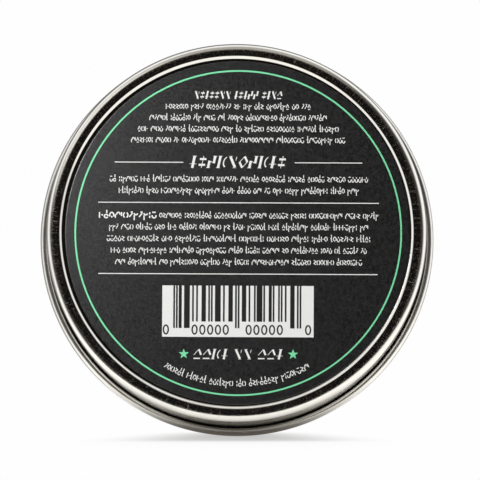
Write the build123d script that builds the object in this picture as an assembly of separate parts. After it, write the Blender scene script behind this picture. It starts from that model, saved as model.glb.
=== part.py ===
from build123d import *
import os

# A shaving soap puck in its own round tin, with a slip-on lid and two paper labels.
# Millimetres. The foot of the tin stands on Z = 0 and the axis of the tin is +Z.
# Each metal part is pressed from one sheet: its section is the outer face of that sheet,
# from the centre outwards, thickened inwards by SHEET, and a rolled edge at its end.

# Driving dimensions
SHEET = 0.30  # tinplate
TIN_RADIUS = 43.35  # outside of the tin's wall
OVERALL_HEIGHT = 30.0

# Tin: a base panel sunk inside a rounded foot, a straight wall and a curled-in mouth
BASE_SINK = 0.50
BASE_PANEL_RADIUS = 39.8
BASE_PANEL_BEND = 0.20
FOOT_INNER_RADIUS = 40.35
FOOT_INNER_BEND = 0.45
FOOT_OUTER_BEND = 1.85
MOUTH_CURL_RADIUS = 0.90
MOUTH_CURL_TURN = 255.0  # degrees, past which the edge would touch the wall
HEADROOM = 0.10  # from the tin's mouth to the underside of the lid's rim

# Lid: a sunk panel inside a raised rim, a skirt that slips over the tin and a rolled edge
SLIP_CLEARANCE = 0.15
LID_SINK = 0.70
LID_PANEL_RADIUS = 39.8
LID_PANEL_BEND = 0.20
LID_RIM_INNER_RADIUS = 40.2
LID_RIM_BEND = 0.50
LID_SHOULDER_BEND = 1.20
ROLL_RADIUS = 1.00  # outside of the rolled edge's section, which is an oval
ROLL_HALF_HEIGHT = 1.60
ROLL_HEIGHT = 18.3  # centre of that section
ROLL_TURN = 300.0  # degrees, past which the edge would touch the skirt

# Soap
SOAP_RADIUS = 42.4
SOAP_THICKNESS = 19.05
SOAP_TOP_ROUND = 2.2
SOAP_BOTTOM_ROUND = 1.2
SOAP_GAP = 0.05  # under the soap

# Labels
LABEL_RADIUS = 39.3
LABEL_THICKNESS = 0.15
BASE_LABEL_SHIFT = (-0.30, -0.12)  # stuck on slightly off the centre

LID_INNER_RADIUS = TIN_RADIUS + SLIP_CLEARANCE
LID_OUTER_RADIUS = LID_INNER_RADIUS + SHEET
TIN_HEIGHT = OVERALL_HEIGHT - SHEET - HEADROOM


def folded(corners, bends, side):
    """The section of bent sheet whose outer face turns at the inner corners by bends."""
    outer_face = FilletPolyline(*corners, radius=bends)
    return make_face(offset(outer_face, SHEET, side=side, closed=True).edges())


def rolled(centre, radius, half_height, start, turn):
    """The section of a sheet's edge rolled round centre, from start through turn."""
    outside = EllipticalCenterArc(centre, radius, half_height, start, arc_size=turn)
    inside = EllipticalCenterArc(centre, radius - SHEET, half_height - SHEET, start, arc_size=turn)
    ends = [Line(outside @ 0, inside @ 0), Line(outside @ 1, inside @ 1)]
    return make_face([outside, inside, *ends])


def turned(section):
    """The solid that a section, drawn as (radius, height), makes about Z."""
    return revolve(Plane.XZ * section, Axis.Z)


def tin_body():
    """Drawn in one piece, with no seam, and curled inwards at the mouth."""
    curl_height = TIN_HEIGHT - MOUTH_CURL_RADIUS
    corners = [
        (0, BASE_SINK),
        (BASE_PANEL_RADIUS, BASE_SINK),
        (FOOT_INNER_RADIUS, 0),
        (TIN_RADIUS, 0),
        (TIN_RADIUS, curl_height),
    ]
    bends = [BASE_PANEL_BEND, FOOT_INNER_BEND, FOOT_OUTER_BEND]
    curl_centre = (TIN_RADIUS - MOUTH_CURL_RADIUS, curl_height)
    curl = rolled(curl_centre, MOUTH_CURL_RADIUS, MOUTH_CURL_RADIUS, 0, MOUTH_CURL_TURN)
    return turned(folded(corners, bends, Side.LEFT) + curl)


def lid():
    """Slips over the tin down to its rim. Its free edge is rolled outwards into a bead."""
    corners = [
        (0, OVERALL_HEIGHT - LID_SINK),
        (LID_PANEL_RADIUS, OVERALL_HEIGHT - LID_SINK),
        (LID_RIM_INNER_RADIUS, OVERALL_HEIGHT),
        (LID_OUTER_RADIUS, OVERALL_HEIGHT),
        (LID_OUTER_RADIUS, ROLL_HEIGHT),
    ]
    bends = [LID_PANEL_BEND, LID_RIM_BEND, LID_SHOULDER_BEND]
    roll_centre = (LID_INNER_RADIUS + ROLL_RADIUS, ROLL_HEIGHT)
    roll = rolled(roll_centre, ROLL_RADIUS, ROLL_HALF_HEIGHT, 180, ROLL_TURN)
    return turned(folded(corners, bends, Side.RIGHT) + roll)


def soap_puck():
    """Lies loose on the inside of the base panel, with room for lather above it."""
    bottom = BASE_SINK + SHEET + SOAP_GAP
    puck = Pos(0, 0, bottom) * Cylinder(
        SOAP_RADIUS, SOAP_THICKNESS, align=(Align.CENTER, Align.CENTER, Align.MIN)
    )
    upper_edge = puck.edges().filter_by(GeomType.CIRCLE).sort_by(Axis.Z)[-1]
    puck = fillet(upper_edge, SOAP_TOP_ROUND)
    lower_edge = puck.edges().filter_by(GeomType.CIRCLE).sort_by(Axis.Z)[0]
    return fillet(lower_edge, SOAP_BOTTOM_ROUND)


def label(x, y, bottom):
    """A round paper label."""
    return Pos(x, y, bottom) * Cylinder(
        LABEL_RADIUS, LABEL_THICKNESS, align=(Align.CENTER, Align.CENTER, Align.MIN)
    )


parts = {
    "tin_body": tin_body(),
    "lid": lid(),
    "soap_puck": soap_puck(),
    "base_label": label(*BASE_LABEL_SHIFT, BASE_SINK - LABEL_THICKNESS),
    "lid_label": label(0, 0, OVERALL_HEIGHT - LID_SINK),
}

os.makedirs("parts", exist_ok=True)
for name, solid in parts.items():
    export_step(solid, f"parts/{name}.step")
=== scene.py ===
"""A shaving soap puck in its slip-lid tin, seen from below as it stands on its edge.

The frame is in metres: the tin's axis is +Z and its foot is on Z = 0. Sections and prints
are drawn in millimetres and turned into metres as each mesh is made. The base label reads
the right way up from below with its top towards +Y, so its right is towards -X.
"""

import math
import random

import bmesh
import bpy
from mathutils import Matrix, Vector, noise


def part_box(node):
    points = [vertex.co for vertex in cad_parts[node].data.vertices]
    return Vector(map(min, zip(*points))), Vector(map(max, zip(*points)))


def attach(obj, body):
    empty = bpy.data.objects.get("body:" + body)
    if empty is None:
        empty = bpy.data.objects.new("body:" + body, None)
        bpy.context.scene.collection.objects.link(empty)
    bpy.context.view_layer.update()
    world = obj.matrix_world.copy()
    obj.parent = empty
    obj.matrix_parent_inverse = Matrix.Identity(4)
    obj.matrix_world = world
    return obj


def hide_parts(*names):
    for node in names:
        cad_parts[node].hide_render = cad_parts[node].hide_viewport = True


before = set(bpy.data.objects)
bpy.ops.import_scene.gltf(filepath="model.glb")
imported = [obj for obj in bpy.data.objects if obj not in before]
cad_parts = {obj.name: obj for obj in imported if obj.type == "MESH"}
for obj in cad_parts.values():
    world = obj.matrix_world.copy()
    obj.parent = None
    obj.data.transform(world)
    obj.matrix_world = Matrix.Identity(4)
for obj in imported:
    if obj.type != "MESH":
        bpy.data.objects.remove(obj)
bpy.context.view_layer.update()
scene = bpy.context.scene
MM = 0.001

# The view: the camera is below the tin, a little towards -Y
TILT = math.radians(5.8)
YAW = math.radians(0.36)
VIEW_DISTANCE = 1.0
VIEW_WIDTH = 109.2 * MM  # what the frame takes in at that distance
AIM_RIGHT, AIM_DOWN = 0.82 * MM, 1.9 * MM  # from the foot's centre to the frame's centre

# The metal's sections. Each is the outer face of one sheet, from the axis outwards: its
# corners, the bends at its inner corners, and the oval curl at its edge as (half width,
# half height, degrees).
SHEET = 0.30
TIN_CORNERS = [(0, 0.50), (39.8, 0.50), (40.35, 0), (43.35, 0), (43.35, 28.7)]
TIN_BENDS = [0.20, 0.45, 1.85]
TIN_CURL = (0.90, 0.90, 255)
LID_CORNERS = [(0, 29.3), (39.8, 29.3), (40.2, 30), (43.8, 30), (43.8, 18.3)]
LID_BENDS = [0.20, 0.50, 1.20]
LID_CURL = (0.70, 1.30, 300)
RIPPLE = 0.004  # how far the pressed sheet strays from its true shape
RIPPLE_LENGTH = 5.0
RIPPLE_RADIUS = 43  # where the ripples' length round the axis is measured

# Steps of the turned meshes
SEGMENTS = 512
BEND_STEP = math.radians(9)
RUN_STEP = 6.0
RUN_GUARD = 0.05  # a ring this close to each bend keeps the flats flat

# The labels
PRINT_TURN = math.radians(-0.3)
BEVEL = 0.20  # width of the slope that the die cut leaves round a label
CUT_WANDER = 0.012  # how far the cut strays
INK_DEPTH = 0.012  # ink above the paper
INK_ROOT = 0.03  # and below its face
INK_STEP = 0.0004  # from one stroke to the next, INK_STEPS times before it starts again
INK_STEPS = 12


# ---------------------------------------------------------------- shader nodes


def put(tree, kind, inputs=None, **settings):
    """Adds a node. An input is given by name or number, as a value or as a socket."""
    node = tree.nodes.new(kind)
    for name, value in settings.items():
        setattr(node, name, value)
    for key, value in (inputs or {}).items():
        if isinstance(value, bpy.types.NodeSocket):
            tree.links.new(value, node.inputs[key])
        else:
            node.inputs[key].default_value = value
    return node


def maths(tree, operation, a, b=0.0):
    return put(tree, "ShaderNodeMath", {0: a, 1: b}, operation=operation).outputs[0]


def ramp(tree, value, low, high, out_low=0.0, out_high=1.0):
    """A smooth step of value from low to high."""
    inputs = {
        "Value": value,
        "From Min": low,
        "From Max": high,
        "To Min": out_low,
        "To Max": out_high,
    }
    return put(tree, "ShaderNodeMapRange", inputs, interpolation_type="SMOOTHSTEP").outputs[0]


def mixed(tree, share, a, b):
    """Colour a, turning into b as share goes from 0 to 1."""
    node = put(tree, "ShaderNodeMix", data_type="RGBA")
    for index, value in ((0, share), (6, a), (7, b)):
        if isinstance(value, bpy.types.NodeSocket):
            tree.links.new(value, node.inputs[index])
        else:
            node.inputs[index].default_value = value
    return node.outputs[2]


def grain(tree, place, scale, detail=3.0, roughness=0.6):
    inputs = {"Vector": place, "Scale": scale, "Detail": detail, "Roughness": roughness}
    return put(tree, "ShaderNodeTexNoise", inputs).outputs[0]


def bump(tree, height, distance, strength=1.0, normal=None):
    """Bump by a height from 0 to 1, where 1 is distance metres."""
    inputs = {"Height": height, "Distance": distance, "Strength": strength}
    if normal is not None:
        inputs["Normal"] = normal
    return put(tree, "ShaderNodeBump", inputs).outputs[0]


def new_material(name):
    """A material, its tree, its Principled BSDF and a place socket in millimetres."""
    material = bpy.data.materials.new(name)
    material.use_nodes = True
    tree = material.node_tree
    place = put(tree, "ShaderNodeTexCoord").outputs["Object"]
    inputs = {0: place, "Scale": 1 / MM}
    place = put(tree, "ShaderNodeVectorMath", inputs, operation="SCALE").outputs[0]
    return material, tree, tree.nodes["Principled BSDF"], place


def finish_with(tree, shader, tone, roughness, normal):
    """Links what varies over a surface to its shader."""
    tree.links.new(tone, shader.inputs["Base Color"])
    tree.links.new(roughness, shader.inputs["Roughness"])
    tree.links.new(normal, shader.inputs["Normal"])


def vector_maths(tree, operation, inputs):
    return put(tree, "ShaderNodeVectorMath", inputs, operation=operation).outputs


def round_axis(tree, place):
    """A place's direction from the Z axis, its distance from it and its height."""
    flat = vector_maths(tree, "MULTIPLY", {0: place, 1: (1, 1, 0)})[0]
    direction = vector_maths(tree, "NORMALIZE", {0: flat})[0]
    radius = vector_maths(tree, "LENGTH", {0: flat})["Value"]
    height = put(tree, "ShaderNodeSeparateXYZ", {0: place}).outputs[2]
    return direction, radius, height


def turned_place(tree, direction, radius, height, around, along, up=0.0):
    """A place for grain on a turned part, with no seam: how fine the grain is around the
    axis, along the radius and up the height."""
    across = maths(tree, "MULTIPLY", radius, along)
    across = maths(tree, "ADD", across, maths(tree, "MULTIPLY", height, up))
    across = put(tree, "ShaderNodeCombineXYZ", {2: across}).outputs[0]
    wide = vector_maths(tree, "SCALE", {0: direction, "Scale": around})[0]
    return vector_maths(tree, "ADD", {0: wide, 1: across})[0]


# ---------------------------------------------------------------- camera, light, floor


def aim_camera():
    towards_camera = Vector(
        (-math.sin(YAW), -math.sin(TILT) * math.cos(YAW), -math.cos(TILT) * math.cos(YAW))
    )
    right = Vector((0, 1, 0)).cross(towards_camera).normalized()
    up = towards_camera.cross(right)
    target = right * AIM_RIGHT - up * AIM_DOWN
    camera = bpy.data.objects.new("camera", bpy.data.cameras.new("camera"))
    camera.data.lens = camera.data.sensor_width * VIEW_DISTANCE / VIEW_WIDTH
    camera.data.clip_start, camera.data.clip_end = 0.05, 10
    turn = Matrix((right, up, towards_camera)).transposed().to_4x4()
    camera.matrix_world = Matrix.Translation(target + towards_camera * VIEW_DISTANCE) @ turn
    scene.collection.objects.link(camera)
    scene.camera = camera


# The studio as the tin reflects it: (direction, inner and outer angle in degrees, colour).
# A patch is plain out to the inner angle and fades out at the outer one. Later patches
# cover earlier ones. The camera stands in the dark part, towards -Z, the lid faces +Z, and
# the floor that the tin's edge stands on is towards -Y.
STUDIO = [
    ((0.25, 0, 1), 56, 78, (0.62, 0.61, 0.59)),
    ((0.15, 0.3, 1), 38, 62, (0.20, 0.197, 0.19)),
    ((-0.05, 0.05, -1), 50, 88, (0.05, 0.045, 0.038)),
    ((0, 1, -0.78), 14, 30, (0.50, 0.48, 0.44)),
    ((0, 0, -1), 10, 44, (0.004, 0.0035, 0.003)),
    ((0.7, 0.7, -0.8), 10, 24, (1.0, 0.98, 0.93)),
    ((-0.22, -1, 0.05), 55, 68, (1.15, 1.13, 1.08)),
]
ROOM = (1.18, 1.18, 1.17)  # the rest of it
BACKDROP = (0.99, 0.99, 0.99)  # what the camera sees behind the tin

# Lamps: one for every matt surface, and one place for those that give the base label's
# paper and inks their glancing sheen
FILL_PLACE, FILL_SIZE, FILL_POWER = (0, 0.15, -0.9), (0.7, 0.7), 3.4
SHEEN_PLACE, SHEEN_AIM, SHEEN_SIZE = (0.112, 0.055, -0.125), (0.01, 0, 0), (0.05, 0.08)
SHEEN_ON_PAPER, SHEEN_ON_WHITE, SHEEN_ON_GREEN = 0.34, 0.10, 0.20


def light_studio():
    scene.world = bpy.data.worlds.new("studio")
    scene.world.use_nodes = True
    tree = scene.world.node_tree
    tree.nodes.clear()
    direction = put(tree, "ShaderNodeTexCoord").outputs["Generated"]
    colour = (*ROOM, 1)
    for axis, inner, outer, patch in STUDIO:
        inputs = {0: direction, 1: Vector(axis).normalized()}
        dot = put(tree, "ShaderNodeVectorMath", inputs, operation="DOT_PRODUCT").outputs["Value"]
        share = ramp(tree, dot, math.cos(math.radians(outer)), math.cos(math.radians(inner)))
        colour = mixed(tree, share, colour, (*patch, 1))
    seen = put(tree, "ShaderNodeLightPath").outputs["Is Camera Ray"]
    room = put(tree, "ShaderNodeBackground", {"Color": colour}).outputs[0]
    plain = put(tree, "ShaderNodeBackground", {"Color": (*BACKDROP, 1)}).outputs[0]
    both = put(tree, "ShaderNodeMixShader", {0: seen, 1: room, 2: plain}).outputs[0]
    put(tree, "ShaderNodeOutputWorld", {"Surface": both})


def soft_box(name, place, towards, size, power, mirrored=True, only=()):
    """A rectangular light. One that isn't mirrored lights only matt surfaces. only names
    the pieces that it lights, where it doesn't light them all."""
    lamp = bpy.data.lights.new(name, "AREA")
    lamp.shape = "RECTANGLE"
    lamp.size, lamp.size_y = size
    lamp.energy = power
    box = bpy.data.objects.new(name, lamp)
    box.location = place
    box.rotation_mode = "QUATERNION"
    box.rotation_quaternion = (Vector(towards) - Vector(place)).to_track_quat("-Z", "Y")
    box.visible_glossy = mirrored
    box.visible_camera = False
    scene.collection.objects.link(box)
    if only:
        box.light_linking.receiver_collection = bpy.data.collections.new(name)
        for piece in only:
            box.light_linking.receiver_collection.objects.link(piece)


# The floors. A floor darkens towards SHADE_COLOUR by a power of the share of its open sky
# that the tin shuts off, times the shade's depth. All lengths are in metres.
SHADE_POWER = 1.6
SHADE_COLOUR = (0.05, 0.04, 0.028, 1)
SHADE_SAMPLES = 16
FOOT_FLOOR_HALF = 1.2
FOOT_FLOOR_GAP = 0.02 * MM  # between it and the foot
FOOT_SHADE_REACH, FOOT_SHADE_DEPTH = 0.035, 0.75

# The floor under the rolled edge. Its shade is deeper as the metal mirrors it. The camera
# sees none of it where |x| + z is past SHADE_ASIDE's first value or z is past
# SHADE_BEYOND's, and a quarter of it where z is under SHADE_NEAR's.
LEAN = math.radians(8.5)  # from the tin's axis
EDGE_FLOOR_HALF = 0.2
EDGE_FLOOR_AHEAD = 34 * MM  # from where the rolled edge touches it, towards -Z
EDGE_FLOOR_BEHIND = 18 * MM
EDGE_SHADE_REACH, EDGE_SHADE_SEEN, EDGE_SHADE_MIRRORED = 0.025, 0.5, 1.25
SHADE_ASIDE = (0.050, 0.022)
SHADE_BEYOND = (0.034, 0.024)
SHADE_NEAR = (0.003, 0.0095, 0.25, 1.0)
MIRRORED_FLOOR = (1.25, 1.23, 1.18, 1)  # its colour in the metal
FLOOR_STEP = 0.5 * MM
FLOOR_RISE = 0.12 * MM  # more than the camera sees between two steps


def floor_paint(name, up, reach, depth, mirrored_depth=0.0, edge=False):
    """Plain white from the front, shaded where something stands on it, clear from behind.
    up is the way to its open sky, and edge is whether it is under the rolled edge."""
    material = bpy.data.materials.new(name)
    material.use_nodes = True
    tree = material.node_tree
    tree.nodes.clear()
    upwards = put(tree, "ShaderNodeCombineXYZ", {0: up.x, 1: up.y, 2: up.z}).outputs[0]
    inputs = {"Distance": reach, "Normal": upwards}
    open_sky = put(tree, "ShaderNodeAmbientOcclusion", inputs, samples=SHADE_SAMPLES).outputs["AO"]
    closed = maths(tree, "POWER", maths(tree, "SUBTRACT", 1.0, open_sky), SHADE_POWER)
    direct = put(tree, "ShaderNodeLightPath").outputs["Is Camera Ray"]
    geometry = put(tree, "ShaderNodeNewGeometry")
    seen = maths(tree, "MULTIPLY", direct, depth)
    if edge:
        place = put(tree, "ShaderNodeSeparateXYZ", {0: geometry.outputs["Position"]})
        x, z = maths(tree, "ABSOLUTE", place.outputs[0]), place.outputs[2]
        aside = ramp(tree, maths(tree, "ADD", x, z), *SHADE_ASIDE)
        beyond = ramp(tree, z, *SHADE_BEYOND)
        near = ramp(tree, z, *SHADE_NEAR)
        seen = maths(tree, "MULTIPLY", seen, maths(tree, "MULTIPLY", aside, beyond))
        seen = maths(tree, "MULTIPLY", seen, near)
    mirrored = maths(tree, "MULTIPLY", maths(tree, "SUBTRACT", 1.0, direct), mirrored_depth)
    closed = maths(tree, "MULTIPLY", closed, maths(tree, "ADD", seen, mirrored))
    white = mixed(tree, direct, MIRRORED_FLOOR, (*BACKDROP, 1))
    colour = mixed(tree, closed, white, SHADE_COLOUR)
    paint = put(tree, "ShaderNodeEmission", {"Color": colour}).outputs[0]
    clear = put(tree, "ShaderNodeBsdfTransparent").outputs[0]
    inputs = {0: geometry.outputs["Backfacing"], 1: paint, 2: clear}
    both = put(tree, "ShaderNodeMixShader", inputs).outputs[0]
    put(tree, "ShaderNodeOutputMaterial", {"Surface": both})
    return material


def floor(name, strips, material, seen, mirrored):
    """A stage surface of flat strips, each a list of four corners in metres. The camera
    sees one that is seen, and the tin's metal shows one that is mirrored."""
    mesh = bpy.data.meshes.new(name)
    corners = [corner for strip in strips for corner in strip]
    faces = [range(i, i + 4) for i in range(0, len(corners), 4)]
    mesh.from_pydata(corners, [], faces)
    mesh.materials.append(material)
    surface = bpy.data.objects.new(name, mesh)
    scene.collection.objects.link(surface)
    surface.visible_camera = seen
    surface.visible_glossy = mirrored
    surface.visible_diffuse = False
    surface.visible_transmission = False
    surface.visible_shadow = False


def lay_foot_floor():
    """The floor of the tin standing upright."""
    side, down = FOOT_FLOOR_HALF, -FOOT_FLOOR_GAP
    square = [(-side, -side, down), (side, -side, down), (side, side, down), (-side, side, down)]
    up = Vector((0, 0, 1))
    paint = floor_paint("floor_under_foot", up, FOOT_SHADE_REACH, FOOT_SHADE_DEPTH)
    floor("floor_under_foot", [square], paint, seen=True, mirrored=False)


def lay_edge_floor():
    """The floor of the tin standing on its side, which touches the oval of the rolled
    edge. What the camera sees of it is a flight of low steps that face -Z, so that it
    shows from below the tin and never from above."""
    wide, tall = (LID_CURL[0] + SHEET) * MM, (LID_CURL[1] + SHEET) * MM
    low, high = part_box("lid")
    up = Vector((0, math.cos(LEAN), -math.sin(LEAN)))
    towards = Vector((0, -math.sin(LEAN), -math.cos(LEAN)))
    centre = Vector((0, wide - high.y, low.z + tall))
    touch = centre - up * math.hypot(wide * math.cos(LEAN), tall * math.sin(LEAN))
    near, far = touch + towards * EDGE_FLOOR_AHEAD, touch - towards * EDGE_FLOOR_BEHIND
    half = Vector((EDGE_FLOOR_HALF, 0, 0))
    paint = floor_paint(
        "floor_under_edge", up, EDGE_SHADE_REACH, EDGE_SHADE_SEEN, EDGE_SHADE_MIRRORED, edge=True
    )
    strip = [far - half, far + half, near + half, near - half]
    floor("floor_in_the_metal", [strip], paint, seen=False, mirrored=True)
    count = round((EDGE_FLOOR_AHEAD + EDGE_FLOOR_BEHIND) / FLOOR_STEP)
    rise = Vector((0, FLOOR_RISE, 0))
    edges = [far.lerp(near, i / count) for i in range(count + 1)]
    steps = [[p - half, p + half, p + half - rise, p - half - rise] for p in edges]
    floor("floor_under_edge", steps, paint, seen=True, mirrored=False)


# ---------------------------------------------------------------- meshes


def piece_from(name, bm, body, materials, smooth=True):
    """Makes an object of a bmesh in metres and gives it to a CAD body."""
    bmesh.ops.recalc_face_normals(bm, faces=bm.faces)
    mesh = bpy.data.meshes.new(name)
    bm.to_mesh(mesh)
    bm.free()
    mesh.polygons.foreach_set("use_smooth", [smooth] * len(mesh.polygons))
    for material in materials:
        mesh.materials.append(material)
    piece = bpy.data.objects.new(name, mesh)
    scene.collection.objects.link(piece)
    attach(piece, body)
    return piece


def left_of(direction):
    return Vector((-direction.y, direction.x))


def arc_steps(start, direction, radius, turn, reach=None):
    """Steps along an arc, each a point and the normal on its left. A turn above 0 is to
    the left. reach is the half axis along direction, where the arc is part of an oval."""
    reach = reach or radius
    inwards = left_of(direction) * (1 if turn > 0 else -1)
    centre = start + inwards * radius
    count = max(2, math.ceil(abs(turn) / BEND_STEP))
    steps = []
    for i in range(count + 1):
        angle = abs(turn) * i / count
        across, along = math.cos(angle), math.sin(angle)
        point = centre - inwards * radius * across + direction * reach * along
        tangent = inwards * radius * along + direction * reach * across
        steps.append((point, left_of(tangent.normalized())))
    return steps


def run_steps(start, end):
    """Steps inside a straight run, with one close to each end."""
    length = (end - start).length
    direction = (end - start) / length
    guard = min(RUN_GUARD, length / 3)
    count = max(1, math.ceil((length - 2 * guard) / RUN_STEP))
    reach = [guard + (length - 2 * guard) * i / count for i in range(count + 1)]
    return [(start + direction * r, left_of(direction)) for r in reach]


def bent_face(corners, bends, curl):
    """Steps along the face of a bent sheet, from the axis to the end of its curl."""
    corners = [Vector(c) for c in corners]
    here = corners[0]
    steps = [(here, left_of((corners[1] - here).normalized()))]
    for i, bend in enumerate(bends, start=1):
        before = (corners[i] - corners[i - 1]).normalized()
        after = (corners[i + 1] - corners[i]).normalized()
        turn = math.atan2(before.cross(after), before.dot(after))
        start = corners[i] - before * bend * math.tan(abs(turn) / 2)
        steps += run_steps(here, start)
        steps += arc_steps(start, before, bend, turn)
        here = steps[-1][0]
    steps += run_steps(here, corners[-1])
    direction = (corners[-1] - here).normalized()
    radius, reach, degrees = curl
    steps += arc_steps(corners[-1], direction, radius, math.radians(degrees), reach)
    return steps


def turned(outline, wander=None):
    """A bmesh in metres of an outline in mm that starts and ends on the axis, turned
    about it. wander moves a point: it is given the ring's number and the angle."""
    bm = bmesh.new()
    rings = []
    for number, (radius, height) in enumerate(outline):
        if radius < 1e-6:
            rings.append([bm.verts.new((0, 0, height * MM))])
            continue
        ring = []
        for k in range(SEGMENTS):
            angle = math.tau * k / SEGMENTS
            dr, dz = wander(number, angle) if wander else (0, 0)
            r, z = (radius + dr) * MM, (height + dz) * MM
            ring.append(bm.verts.new((r * math.cos(angle), r * math.sin(angle), z)))
        rings.append(ring)
    for inner, outer in zip(rings, rings[1:]):
        for k in range(SEGMENTS):
            after = (k + 1) % SEGMENTS
            corners = [inner[k % len(inner)], inner[after % len(inner)]]
            corners += [outer[after % len(outer)], outer[k % len(outer)]]
            unique = list(dict.fromkeys(corners))
            if len(unique) > 2:
                bm.faces.new(unique)
    return bm


def sheet_metal(name, corners, bends, curl, thick_side, body, node, material):
    """One pressed sheet, never quite true, that ends in a curl to the left. Its thickness
    is on the left of its face too where thick_side is 1, and on the right where it is -1."""
    face = bent_face(corners, bends, curl)
    back = face[::-1]
    inward = thick_side * SHEET
    outline = [tuple(p) for p, n in face] + [tuple(p + n * inward) for p, n in back]
    steps = face + back

    def wander(number, angle):
        point, normal = steps[number]
        around = (math.cos(angle) * RIPPLE_RADIUS, math.sin(angle) * RIPPLE_RADIUS)
        spot = Vector((*around, point.x + point.y))
        off = noise.noise(spot / RIPPLE_LENGTH) * RIPPLE
        return normal.x * off, normal.y * off

    piece = piece_from(name, turned(outline, wander), body, [material])
    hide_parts(node)


# ---------------------------------------------------------------- materials

# Where the tinplate is worn, in mm. Each pair is where the wear starts and where it is full.
RUBBED_FROM = (43.9, 44.2)  # radius, which only the rolled edge reaches
LAND_BELOW = (0.30, 0.02)  # height
LAND_OUTSIDE = (40.3, 40.6)  # radius


def tinplate():
    """Bright tinned steel: a fine rolled grain, faint stains, a scuffed foot and a rolled
    edge that is rubbed dull."""
    material, tree, shader, place = new_material("tinplate")
    shader.inputs["Metallic"].default_value = 1.0
    stain = ramp(tree, grain(tree, place, 0.22, 4.0), 0.35, 0.70)
    tone = mixed(tree, stain, (0.83, 0.82, 0.79, 1), (0.78, 0.765, 0.73, 1))
    fine = grain(tree, place, 9.0, 4.0, 0.7)
    polish = ramp(tree, fine, 0.25, 0.75, 0.10, 0.19)
    direction, radius, height = round_axis(tree, place)
    rubbed = ramp(tree, radius, *RUBBED_FROM, 0.0, 0.17)
    polish = maths(tree, "ADD", polish, rubbed)
    spun = turned_place(tree, direction, radius, height, 30.0, 9.0, 9.0)
    lines = grain(tree, spun, 1.0, 3.0)
    dragged = turned_place(tree, direction, radius, height, 260.0, 0.35)
    scratches = ramp(tree, grain(tree, dragged, 1.0, 5.0, 0.75), 0.56, 0.74)
    pits = ramp(tree, grain(tree, place, 5.5, 3.0, 0.6), 0.60, 0.74)
    on_land = maths(
        tree, "MULTIPLY", ramp(tree, height, *LAND_BELOW), ramp(tree, radius, *LAND_OUTSIDE)
    )
    scuffs = maths(tree, "MULTIPLY", maths(tree, "ADD", scratches, pits), on_land)
    rust = maths(tree, "MULTIPLY", scuffs, 0.8)
    tone = mixed(tree, rust, tone, (0.60, 0.47, 0.38, 1))
    normal = bump(tree, lines, 0.0010 * MM)
    normal = bump(tree, fine, 0.0022 * MM, normal=normal)
    normal = bump(tree, scuffs, 0.012 * MM, normal=normal)
    finish_with(tree, shader, tone, polish, normal)
    return material


def black_paper():
    """Satin black label stock with a fine tooth."""
    material, tree, shader, place = new_material("black_paper")
    speckle = ramp(tree, grain(tree, place, 1.5, 3.0, 0.8), 0.38, 0.62)
    tone = mixed(tree, speckle, (0.0010, 0.0011, 0.0011, 1), (0.009, 0.009, 0.0093, 1))
    tooth = grain(tree, place, 2.6, 4.0, 0.8)
    roughness = ramp(tree, tooth, 0.38, 0.62, 0.28, 0.50)
    finish_with(tree, shader, tone, roughness, bump(tree, tooth, 0.020 * MM))
    return material


def paper_edge():
    """The pale cut through the label's paper."""
    material, tree, shader, place = new_material("paper_edge")
    fibre = grain(tree, place, 6.0, 4.0, 0.7)
    tone = mixed(tree, fibre, (0.06, 0.06, 0.058, 1), (0.16, 0.16, 0.15, 1))
    tree.links.new(tone, shader.inputs["Base Color"])
    shader.inputs["Roughness"].default_value = 0.8
    tree.links.new(bump(tree, fibre, 0.01 * MM), shader.inputs["Normal"])
    return material


def ink(name, colour, thin_colour):
    """Screen ink, uneven where the paper's tooth shows through."""
    material, tree, shader, place = new_material(name)
    tooth = grain(tree, place, 7.0, 4.0, 0.8)
    tone = mixed(tree, ramp(tree, tooth, 0.55, 0.8), colour, thin_colour)
    roughness = ramp(tree, tooth, 0.3, 0.7, 0.38, 0.52)
    finish_with(tree, shader, tone, roughness, bump(tree, tooth, 0.003 * MM))
    return material


def soap_bar():
    """Hard, pale, waxy soap, with fine pits and a few darker specks."""
    material, tree, shader, place = new_material("soap_bar")
    cloud = ramp(tree, grain(tree, place, 0.12, 4.0), 0.3, 0.7)
    tone = mixed(tree, cloud, (0.86, 0.82, 0.70, 1), (0.80, 0.75, 0.62, 1))
    specks = ramp(tree, grain(tree, place, 3.2, 2.0), 0.70, 0.76)
    tone = mixed(tree, maths(tree, "MULTIPLY", specks, 0.4), tone, (0.50, 0.42, 0.30, 1))
    pits = grain(tree, place, 2.0, 5.0, 0.7)
    roughness = ramp(tree, pits, 0.3, 0.7, 0.34, 0.55)
    finish_with(tree, shader, tone, roughness, bump(tree, pits, 0.05 * MM))
    shader.inputs["Subsurface Weight"].default_value = 0.25
    shader.inputs["Subsurface Radius"].default_value = (1.0, 0.75, 0.45)
    shader.inputs["Subsurface Scale"].default_value = 1.2 * MM
    return material


# ---------------------------------------------------------------- prints


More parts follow.
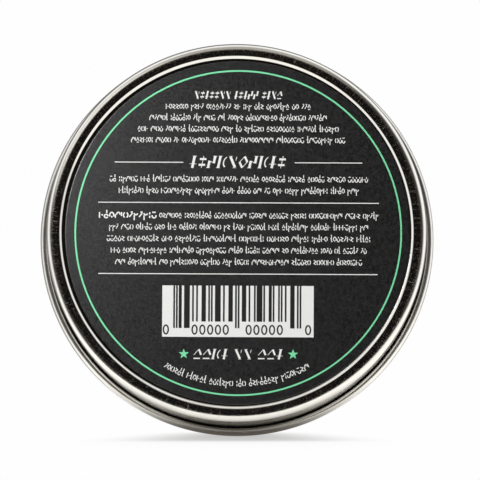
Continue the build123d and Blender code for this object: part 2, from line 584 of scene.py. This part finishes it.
class Print:
    """Ink drawn on a label in mm: u to the right, v up, h out of the paper."""

    def __init__(self, seed):
        self.bm = bmesh.new()
        self.count = 0
        self.draw = random.Random(seed)

    def top(self, layer):
        """The height of a shape. Shapes that cross have tops that don't coincide."""
        self.count = (self.count + 1) % INK_STEPS
        return INK_DEPTH * (1 + layer) + INK_STEP * self.count

    def prism(self, outline, layer=0):
        top = self.top(layer)
        upper = [self.bm.verts.new((u, v, top)) for u, v in outline]
        lower = [self.bm.verts.new((u, v, -INK_ROOT)) for u, v in outline]
        self.bm.faces.new(upper)
        self.bm.faces.new(reversed(lower))
        for i in range(len(outline)):
            j = (i + 1) % len(outline)
            self.bm.faces.new((upper[i], lower[i], lower[j], upper[j]))

    def ribbon(self, points, width, end_width=None, closed=False, layer=0):
        """A stroke along points, whose width may change from start to end."""
        end_width = width if end_width is None else end_width
        top = self.top(layer)
        points = [Vector(p) for p in points]
        count = len(points)
        rings = []
        for i, p in enumerate(points):
            before = points[i - 1] if (closed or i) else p
            after = points[(i + 1) % count] if (closed or i + 1 < count) else p
            first = (p - before).normalized() if before != p else (after - p).normalized()
            second = (after - p).normalized() if after != p else first
            along = (first + second).normalized()
            spread = 1 / max(0.6, along.dot(first))
            share = i / (count - 1)
            half = (width + (end_width - width) * share) / 2 * spread
            a, b = p + left_of(along) * half, p - left_of(along) * half
            corners = ((a, top), (b, top), (b, -INK_ROOT), (a, -INK_ROOT))
            rings.append([self.bm.verts.new((q.x, q.y, h)) for q, h in corners])
        pairs = list(zip(rings, rings[1:])) + ([(rings[-1], rings[0])] if closed else [])
        for here, after in pairs:
            for i in range(4):
                j = (i + 1) % 4
                self.bm.faces.new((here[i], after[i], after[j], here[j]))
        if not closed:
            self.bm.faces.new(rings[0])
            self.bm.faces.new(reversed(rings[-1]))

    def bar(self, u0, v0, u1, v1, layer=0):
        self.prism([(u0, v0), (u1, v0), (u1, v1), (u0, v1)], layer)

    def ring(self, radius, width, u=0.0, v=0.0, steps=360):
        turn = [math.tau * i / steps for i in range(steps)]
        line = [(u + radius * math.cos(a), v + radius * math.sin(a)) for a in turn]
        self.ribbon(line, width, closed=True)

    def star(self, u, v, radius, notch=0.42):
        """Five points, with notches at that share of the radius."""
        outline = []
        for i in range(10):
            angle = math.pi * (0.5 + i / 5)
            r = radius * (notch if i % 2 else 1)
            outline.append((u + r * math.cos(angle), v + r * math.sin(angle)))
        self.prism(outline)

    def finish(self, name, face, body, slot, material):
        """face is the matrix that lays the drawing on its label, in metres."""
        self.bm.transform(face)
        return piece_from(name, self.bm, body, [material], smooth=False)


def bow(u, v, wide, tall, start, end, steps=5):
    """Points round part of an oval, from start to end in degrees."""
    turn = [math.radians(start + (end - start) * i / steps) for i in range(steps + 1)]
    return [(u + wide * math.cos(a), v + tall * math.sin(a)) for a in turn]


# Marks that stand for small type without being letters: the width of a mark's box, which
# is one unit high from the line, and the strokes in it.
SMALL_MARKS = [
    (0.56, [[(0.10, 0), (0.10, 1)], [(0.30, 0.52), (0.48, 0.52)]]),
    (0.60, [bow(0.29, 0.45, 0.23, 0.52, -25, 205, 7), [(0.29, 0.04), (0.29, 0.34)]]),
    (0.60, [bow(0.29, 0.50, 0.23, 0.50, 165, 375, 7), [(0.29, 0.72), (0.29, 1.02)]]),
    (0.34, [[(0.14, 0), (0.14, 0.40)], [(0.14, 0.62), (0.14, 1)]]),
    (0.44, [
        [(0.18, 0), (0.18, 1.40)],
        [(0.0, 0.62), (0.18, 0.62)],
        [(0.18, 0.05), (0.36, 0.05)],
    ]),
    (0.64, [bow(0.30, 0.5, 0.25, 0.48, 115, 245, 5), bow(0.30, 0.5, 0.25, 0.48, -65, 65, 5)]),
    (0.58, [[(0.06, 0.96), (0.46, 0.70), (0.08, 0.34), (0.48, 0.04)]]),
    (0.92, [
        [(0.08, 0), (0.08, 0.62)],
        bow(0.41, 0.56, 0.20, 0.42, 180, 0),
        [(0.76, 0.32), (0.76, 1)],
    ]),
    (0.58, [[(0.10, -0.38), (0.10, 0.46)], bow(0.28, 0.84, 0.20, 0.30, 180, 350)]),
    (0.50, [[(0.06, 0.16), (0.40, 0.84)], [(0.20, 1.02), (0.44, 1.02)]]),
    (0.62, [[(0.06, 0.34), (0.28, 0.98), (0.50, 0.34)], [(0.10, 0.03), (0.46, 0.03)]]),
    (0.60, [bow(0.28, 0.36, 0.22, 0.36, 20, -200, 7), [(0.08, 1.0), (0.46, 1.0)]]),
    (0.60, [bow(0.28, 0.30, 0.22, 0.30, 0, 330, 8), [(0.34, 0.80), (0.34, 1.38)]]),
]

HAIR = 0.035  # width of the thin feet and caps below

# Marks for the headings, thick and thin: (points, width, end width) for each stroke.
TALL_MARKS = [
    (0.84, [
        ([(0.16, 0), (0.16, 1)], 0.20, 0.20),
        (bow(0.84, 0.5, 0.34, 0.46, 118, 242, 7), 0.06, 0.13),
        ([(0.0, 0.985), (0.32, 0.985)], HAIR, HAIR),
        ([(0.0, 0.015), (0.32, 0.015)], HAIR, HAIR),
    ]),
    (0.80, [
        ([(0.16, 0), (0.16, 0.60)], 0.20, 0.20),
        ([(0.54, 0.40), (0.54, 1)], 0.20, 0.20),
        ([(0.16, 0.60), (0.54, 0.40)], 0.05, 0.05),
        ([(0.38, 0.985), (0.70, 0.985)], HAIR, HAIR),
        ([(0.0, 0.015), (0.32, 0.015)], HAIR, HAIR),
    ]),
    (0.80, [
        ([(0.08, 0.5), (0.40, 0.97)], 0.05, 0.05),
        ([(0.40, 0.97), (0.70, 0.5)], 0.18, 0.18),
        ([(0.70, 0.5), (0.38, 0.03)], 0.05, 0.05),
        ([(0.38, 0.03), (0.08, 0.5)], 0.18, 0.18),
    ]),
    (0.86, [
        ([(0.12, 0.94), (0.66, 0.06)], 0.21, 0.21),
        ([(0.0, 0.985), (0.30, 0.985)], HAIR, HAIR),
        ([(0.48, 0.015), (0.78, 0.015)], HAIR, HAIR),
        ([(0.62, 0.62), (0.62, 0.94)], 0.05, 0.05),
    ]),
    (0.66, [
        ([(0.30, 0), (0.30, 1)], 0.21, 0.21),
        ([(0.02, 0.34), (0.58, 0.34)], 0.045, 0.045),
        ([(0.14, 0.985), (0.46, 0.985)], HAIR, HAIR),
    ]),
    (0.84, [
        ([(0.08, 0.42), (0.42, 0.97)], 0.05, 0.05),
        ([(0.42, 0.97), (0.72, 0.42)], 0.19, 0.19),
        ([(0.12, 0.07), (0.70, 0.07)], 0.12, 0.12),
    ]),
    (0.74, [
        ([(0.36, 0), (0.36, 1)], 0.05, 0.05),
        ([(0.10, 0.74), (0.62, 0.74)], 0.17, 0.17),
        ([(0.10, 0.26), (0.62, 0.26)], 0.17, 0.17),
    ]),
]

WORD_SPACE = 0.42  # of a line's height
SLANT = 0.22  # of the headings
SLANT_SHIFT = 0.1  # of their height, to the left, which centres them again
RULE = 0.20  # width of the rules


def spell(shape, marks, count, gaps, start, width, height, place, weight=None, slant=0.0):
    """Sets count marks, with word spaces after the numbered ones, to fill width from
    start. place turns a point of the line, (along, above), into one of the label. Marks
    that have widths of their own need no weight."""
    chosen = []
    for i in range(count):
        chosen.append(shape.draw.choice(marks))
        if i in gaps:
            chosen.append((WORD_SPACE, []))
    squeeze = width / (height * sum(advance for advance, strokes in chosen))
    along = start
    for advance, strokes in chosen:
        for stroke in strokes:
            if weight is None:
                points, first, last = stroke
                first, last = first * height, last * height
            else:
                points, first, last = stroke, weight, weight
            line = [
                place(along + (x * squeeze + y * slant) * height, y * height) for x, y in points
            ]
            shape.ribbon(line, first, last)
        along += advance * height * squeeze


def word_gaps(draw, count, shortest=2, longest=9):
    """After which marks a new word starts."""
    gaps, at = set(), -1
    while True:
        at += draw.randint(shortest, longest)
        if at >= count - 2:
            return gaps
        gaps.add(at)


def on_line(v, height):
    """Places a line of type whose middle is at v."""
    return lambda along, above: (along, v - height / 2 + above)


def on_arc(radius, half_turn, height):
    """Places a line of type round the bottom of a label, its top towards the middle."""

    def place(along, above):
        angle = -math.pi / 2 - half_turn + along / radius
        reach = radius + height / 2 - above
        return reach * math.cos(angle), reach * math.sin(angle)

    return place


def text_line(shape, v, width, height=1.15, weight=0.185, pitch=0.86, middle=0.0):
    """A line of small type. pitch is the mean width of a mark, and weight a stroke's."""
    count = round(width / pitch)
    gaps = word_gaps(shape.draw, count)
    start = middle - width / 2
    spell(shape, SMALL_MARKS, count, gaps, start, width, height, on_line(v, height), weight)


def text_block(shape, top, leading, widths, middle=0.0):
    """Lines of small type, leading apart, of which the first is at top."""
    for i, width in enumerate(widths):
        text_line(shape, top - leading * i, width, middle=middle)


def text_arc(shape, radius, degrees, height, count, weight):
    """A line of type that takes up that much of the circle."""
    half_turn = math.radians(degrees / 2)
    length = 2 * half_turn * radius
    gaps = word_gaps(shape.draw, count)
    place = on_arc(radius, half_turn, height)
    spell(shape, SMALL_MARKS, count, gaps, 0, length, height, place, weight)


def heading(shape, v, width, height, count, gaps=(), middle=0.0):
    """A line of count tall marks, with word spaces after the ones in gaps."""
    start = middle - width / 2 - height * SLANT_SHIFT
    place = on_line(v, height)
    spell(shape, TALL_MARKS, count, gaps, start, width, height, place, slant=SLANT)


def rule(shape, u0, u1, v):
    """A thin line across the label, from u0 to u1."""
    shape.bar(u0, v - RULE / 2, u1, v + RULE / 2)


# The base label's print, in mm from its middle
HEADING_LINE = 16.0  # of the rules beside the second heading
STAR_LINE = -27.8  # of the last heading, between two stars
LIST_LINE = 3.8  # the long list's first line, which starts with a bold word
LIST_LEFT, LIST_WIDTH = -31.7, 63.8
BOLD_WIDTH, BOLD_HEIGHT, BOLD_WEIGHT, BOLD_GAP = 13.3, 1.3, 0.30, 0.5


def base_type():
    """The lines of small type and rules on the base label."""
    shape = Print(7)
    text_block(shape, top=28.82, leading=2.565, widths=(33.2, 40.6, 45.9, 48.9))
    text_block(shape, top=12.15, leading=2.65, widths=(58.9, 54.8), middle=0.2)
    bold = on_line(LIST_LINE + 0.05, BOLD_HEIGHT)
    spell(
        shape, SMALL_MARKS, 11, (), LIST_LEFT, BOLD_WIDTH, BOLD_HEIGHT, bold, BOLD_WEIGHT,
    )
    taken = BOLD_WIDTH + BOLD_GAP
    text_line(shape, LIST_LINE, LIST_WIDTH - taken, middle=taken / 2 + 0.2)
    text_block(shape, top=1.16, leading=2.67, widths=(59.1, 60.1, 58.3, 56.2), middle=0.25)
    for left, right, v in (
        (-28.1, -12.5, HEADING_LINE),
        (12.9, 28.3, HEADING_LINE),
        (-31.8, 32.1, 6.77),
        (-31.65, 31.85, -9.53),
    ):
        rule(shape, left, right, v)
    text_arc(shape, radius=34.5, degrees=56.8, height=1.25, count=38, weight=0.19)
    return shape


def base_headings():
    shape = Print(11)
    heading(shape, v=31.5, width=20.2, height=1.8, count=16, gaps=(6, 11))
    heading(shape, v=HEADING_LINE + 0.1, width=22.1, height=2.75, count=10)
    heading(shape, v=STAR_LINE, width=20.6, height=2.3, count=9, gaps=(3, 5), middle=0.3)
    return shape


def base_green():
    shape = Print(19)
    shape.ring(radius=37.09, width=0.38, u=0.11, v=-0.03)
    for u in (-12.1, 12.7):
        shape.star(u, STAR_LINE, radius=1.2)
    return shape


# The bar code, in mm from the base label's middle
CODE_HALF = 14.5  # half the width of the bars
CODE_MODULES = 95
CODE_TOP, CODE_FOOT, CODE_GUARD_FOOT = -12.2, -20.4, -21.9
CODE_PATCH = (-17.06, -23.9, 17.35, CODE_TOP)
CODE_GUARDS = (0, 2, 46, 48, 92, 94)  # modules
CODE_HALVES = ((4, 44), (51, 90))
CODE_LONG = 6  # how many modules at each end have long bars
CODE_DIGITS = -22.25
CODE_OUTER_DIGITS = (-16.2, 16.1)
CODE_INNER_DIGIT, CODE_DIGIT_PITCH = 2.6, 1.77  # five on each side of the middle guards
INK_SPREAD = 0.09  # how much wider a bar prints


def code_patch():
    """The white ground of the bar code."""
    shape = Print(13)
    shape.bar(*CODE_PATCH)
    return shape


def code_bars():
    """Bars in a made-up rhythm, with a row of noughts under them."""
    shape = Print(17)
    module = 2 * CODE_HALF / CODE_MODULES
    bars = [(at, 1, True) for at in CODE_GUARDS]
    for start, stop in CODE_HALVES:
        at = start
        while at < stop:
            wide = min(shape.draw.choice((1, 1, 1, 2, 2, 3, 4)), stop - at)
            inner = CODE_HALVES[0][0] + CODE_LONG <= at <= CODE_HALVES[1][1] - CODE_LONG
            bars.append((at, wide, not inner))
            at += wide + shape.draw.choice((1, 1, 2, 2, 3))
    for at, wide, long in bars:
        u = at * module - CODE_HALF - INK_SPREAD / 2
        foot = CODE_GUARD_FOOT if long else CODE_FOOT
        shape.bar(u, foot, u + wide * module + INK_SPREAD, CODE_TOP + 0.01, layer=1)
    noughts = list(CODE_OUTER_DIGITS)
    for i in range(5):
        u = CODE_INNER_DIGIT + CODE_DIGIT_PITCH * i
        noughts += [-u, u]
    for u in noughts:
        oval = bow(u, CODE_DIGITS, wide=0.55, tall=1.0, start=0, end=360 - 360 / 16, steps=15)
        shape.ribbon(oval, 0.34, closed=True, layer=1)
    return shape


def lid_white():
    """A plain design of its own for the lid: headings, rules and small type."""
    shape = Print(23)
    heading(shape, v=4.6, width=36, height=5.4, count=9)
    heading(shape, v=-6.2, width=26, height=3.0, count=10, gaps=(4,))
    for v in (11.2, -1.4, -11.0):
        rule(shape, -27, 27, v)
    for v, width in ((-14.6, 30), (-18.0, 22)):
        text_line(shape, v, width, height=1.4, weight=0.22, pitch=1.0)
    text_arc(shape, radius=33.6, degrees=68, height=1.5, count=36, weight=0.24)
    return shape


def lid_green():
    shape = Print(29)
    shape.ring(radius=37.2, width=0.48)
    shape.ring(radius=30.8, width=0.20)
    for u, v, radius in ((0, 19.5, 3.6), (-8.4, 17.4, 1.7), (8.4, 17.4, 1.7)):
        shape.star(u, v, radius)
    return shape


def label_paper(name, node, body, facing, paper, edge):
    """A round paper label with a sloping cut edge, and the matrix that lays a print on it.
    facing is +1 or -1, the side along Z that its print is on."""
    low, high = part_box(node)
    centre = (low + high) / 2 / MM
    radius = (high.x - low.x) / 2 / MM
    back, front = (low.z / MM, high.z / MM) if facing > 0 else (high.z / MM, low.z / MM)
    thick = front - back
    outline = [(0, front)]
    outline += [(radius * share, front) for share in (0.25, 0.5, 0.75, 0.9, 0.97)]
    flat = len(outline)
    outline += [
        (radius - BEVEL - 0.04, front),
        (radius - BEVEL, front),
        (radius - BEVEL + 0.03, front - thick * 0.06),
        (radius - 0.02, front - thick * 0.40),
        (radius, front - thick * 0.5),
        (radius, back),
        (0, back),
    ]

    def wander(number, angle):
        if not flat <= number < len(outline) - 1:
            return 0, 0
        spot = Vector((math.cos(angle), math.sin(angle), outline[number][0] / 40)) * 6
        return noise.noise(spot * 2.2) * CUT_WANDER, 0

    bm = turned(outline, wander)
    cut = radius - 0.015  # faces outside this show the paper cut through
    for face in bm.faces:
        if face.calc_center_median().xy.length / MM > cut:
            face.material_index = 1
    bm.transform(Matrix.Translation((centre.x * MM, centre.y * MM, 0)))
    piece = piece_from(name, bm, body, [paper, edge])
    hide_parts(node)
    turn = Matrix.Rotation(math.pi if facing < 0 else 0, 4, "Y")
    spin = Matrix.Rotation(PRINT_TURN, 4, "Z")
    middle = Vector((centre.x, centre.y, front)) * MM
    return piece, Matrix.Translation(middle) @ turn @ spin @ Matrix.Scale(MM, 4)


SOAP_LOWER_ROUND, SOAP_UPPER_ROUND = 1.2, 2.2
SOAP_SINK = 0.16  # of the uneven top, which keeps it under the CAD puck's
SOAP_SWIRLS = ((0.10, 9), (0.05, 2.5))  # height and length


def soap_piece(material):
    """A poured puck with a rounded rim and a surface that isn't quite flat."""
    low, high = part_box("soap_puck")
    radius = high.x / MM
    bottom, top = low.z / MM, high.z / MM
    lower, upper = SOAP_LOWER_ROUND, SOAP_UPPER_ROUND
    wall_foot, wall_top = bottom + lower, top - upper
    outline = [(0, top)]
    outline += [(r, top) for r in range(2, int(radius - upper), 2)]
    outline += bow(radius - upper, wall_top, upper, upper, 90, 0, 8)
    outline += [(radius, wall_foot + (wall_top - wall_foot) * i / 6) for i in range(5, 0, -1)]
    outline += bow(radius - lower, wall_foot, lower, lower, 0, -90, 6)
    outline += [(0, bottom)]

    def wander(number, angle):
        r, z = outline[number]
        if z < wall_top:
            return 0, 0
        spot = Vector((r * math.cos(angle), r * math.sin(angle), 0))
        return 0, sum(tall * noise.noise(spot / long) for tall, long in SOAP_SWIRLS) - SOAP_SINK

    piece = piece_from("soap", turned(outline, wander), "tin", [material])
    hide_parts("soap_puck")


# ---------------------------------------------------------------- the scene

aim_camera()
light_studio()
soft_box("fill", FILL_PLACE, (0, 0, 0), FILL_SIZE, FILL_POWER, mirrored=False)
lay_foot_floor()
lay_edge_floor()
scene.view_settings.view_transform = "Standard"

metal = tinplate()
sheet_metal("tin", TIN_CORNERS, TIN_BENDS, TIN_CURL, 1, "tin", "tin_body", metal)
sheet_metal("slip_lid", LID_CORNERS, LID_BENDS, LID_CURL, -1, "lid", "lid", metal)

paper, edge = black_paper(), paper_edge()
white = ink("white_ink", (0.84, 0.845, 0.84, 1), (0.62, 0.63, 0.62, 1))
green = ink("green_ink", (0.16, 0.62, 0.33, 1), (0.12, 0.48, 0.26, 1))
black = ink("black_ink", (0.010, 0.010, 0.011, 1), (0.020, 0.020, 0.021, 1))

under_paper, under = label_paper("base_label_paper", "base_label", "tin", -1, paper, edge)
in_black_and_white = [
    base_type().finish("base_type", under, "tin", "base_label", white),
    base_headings().finish("base_headings", under, "tin", "base_label", white),
    code_patch().finish("base_code_patch", under, "tin", "base_label", white),
    code_bars().finish("base_code_bars", under, "tin", "base_label", black),
]
in_green = [base_green().finish("base_ring_and_stars", under, "tin", "base_label", green)]
for name, power, pieces in (
    ("sheen_on_paper", SHEEN_ON_PAPER, [under_paper]),
    ("sheen_on_white", SHEEN_ON_WHITE, in_black_and_white),
    ("sheen_on_green", SHEEN_ON_GREEN, in_green),
):
    soft_box(name, SHEEN_PLACE, SHEEN_AIM, SHEEN_SIZE, power, only=pieces)

_, over = label_paper("lid_label_paper", "lid_label", "lid", 1, paper, edge)
lid_white().finish("lid_type", over, "lid", "lid_label", white)
lid_green().finish("lid_rings_and_stars", over, "lid", "lid_label", green)

soap_piece(soap_bar())
